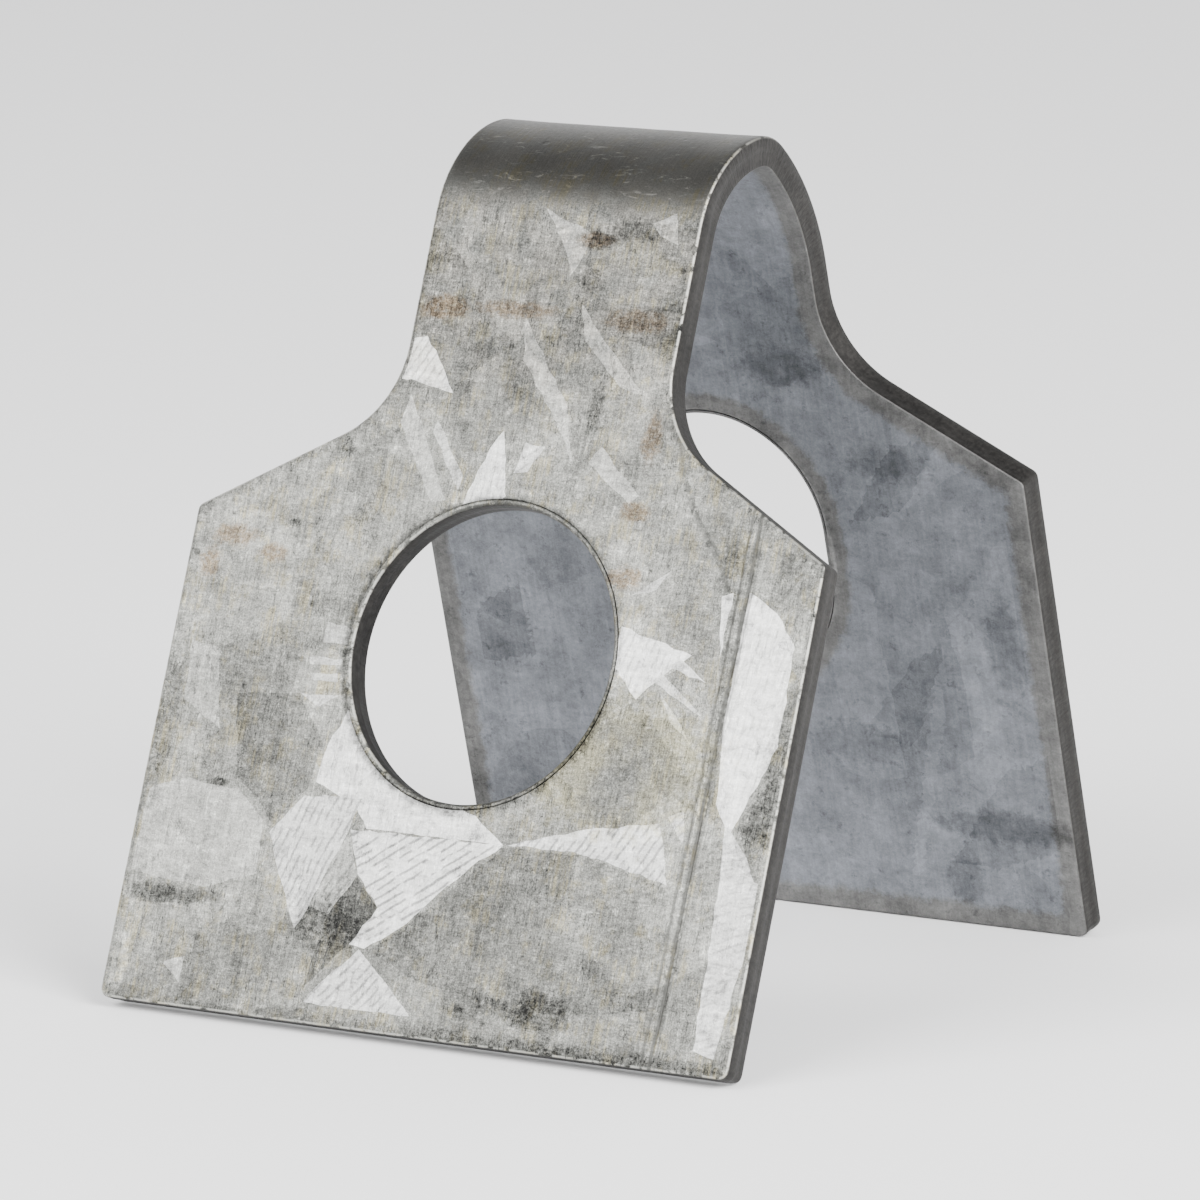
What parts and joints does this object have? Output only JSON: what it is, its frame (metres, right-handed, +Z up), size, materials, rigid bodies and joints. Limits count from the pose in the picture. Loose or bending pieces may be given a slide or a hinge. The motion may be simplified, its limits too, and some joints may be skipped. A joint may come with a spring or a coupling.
{
  "type": "folded strap bracket",
  "caption": "Strip of galvanised sheet steel folded at a narrow neck into two wide flared leaves, with a round hole in one leaf and an upright slot in the other.",
  "frame": {"origin": "centre of the footprint, on the surface that both leaves' bottom edges stand on", "axes": "+X along the fold, -Y the way the near leaf (round hole) faces, +Y the way the far leaf (slot) faces, +Z up"},
  "size_m": [0.06, 0.0596, 0.069],
  "materials": {
    "galvanised_steel": "spangled galvanised, dull and worn, with bright crystals and rust-tinted rubs"
  },
  "bodies": {
    "root": {"folded_strap": "galvanised_steel"}
  },
  "joints": []
}
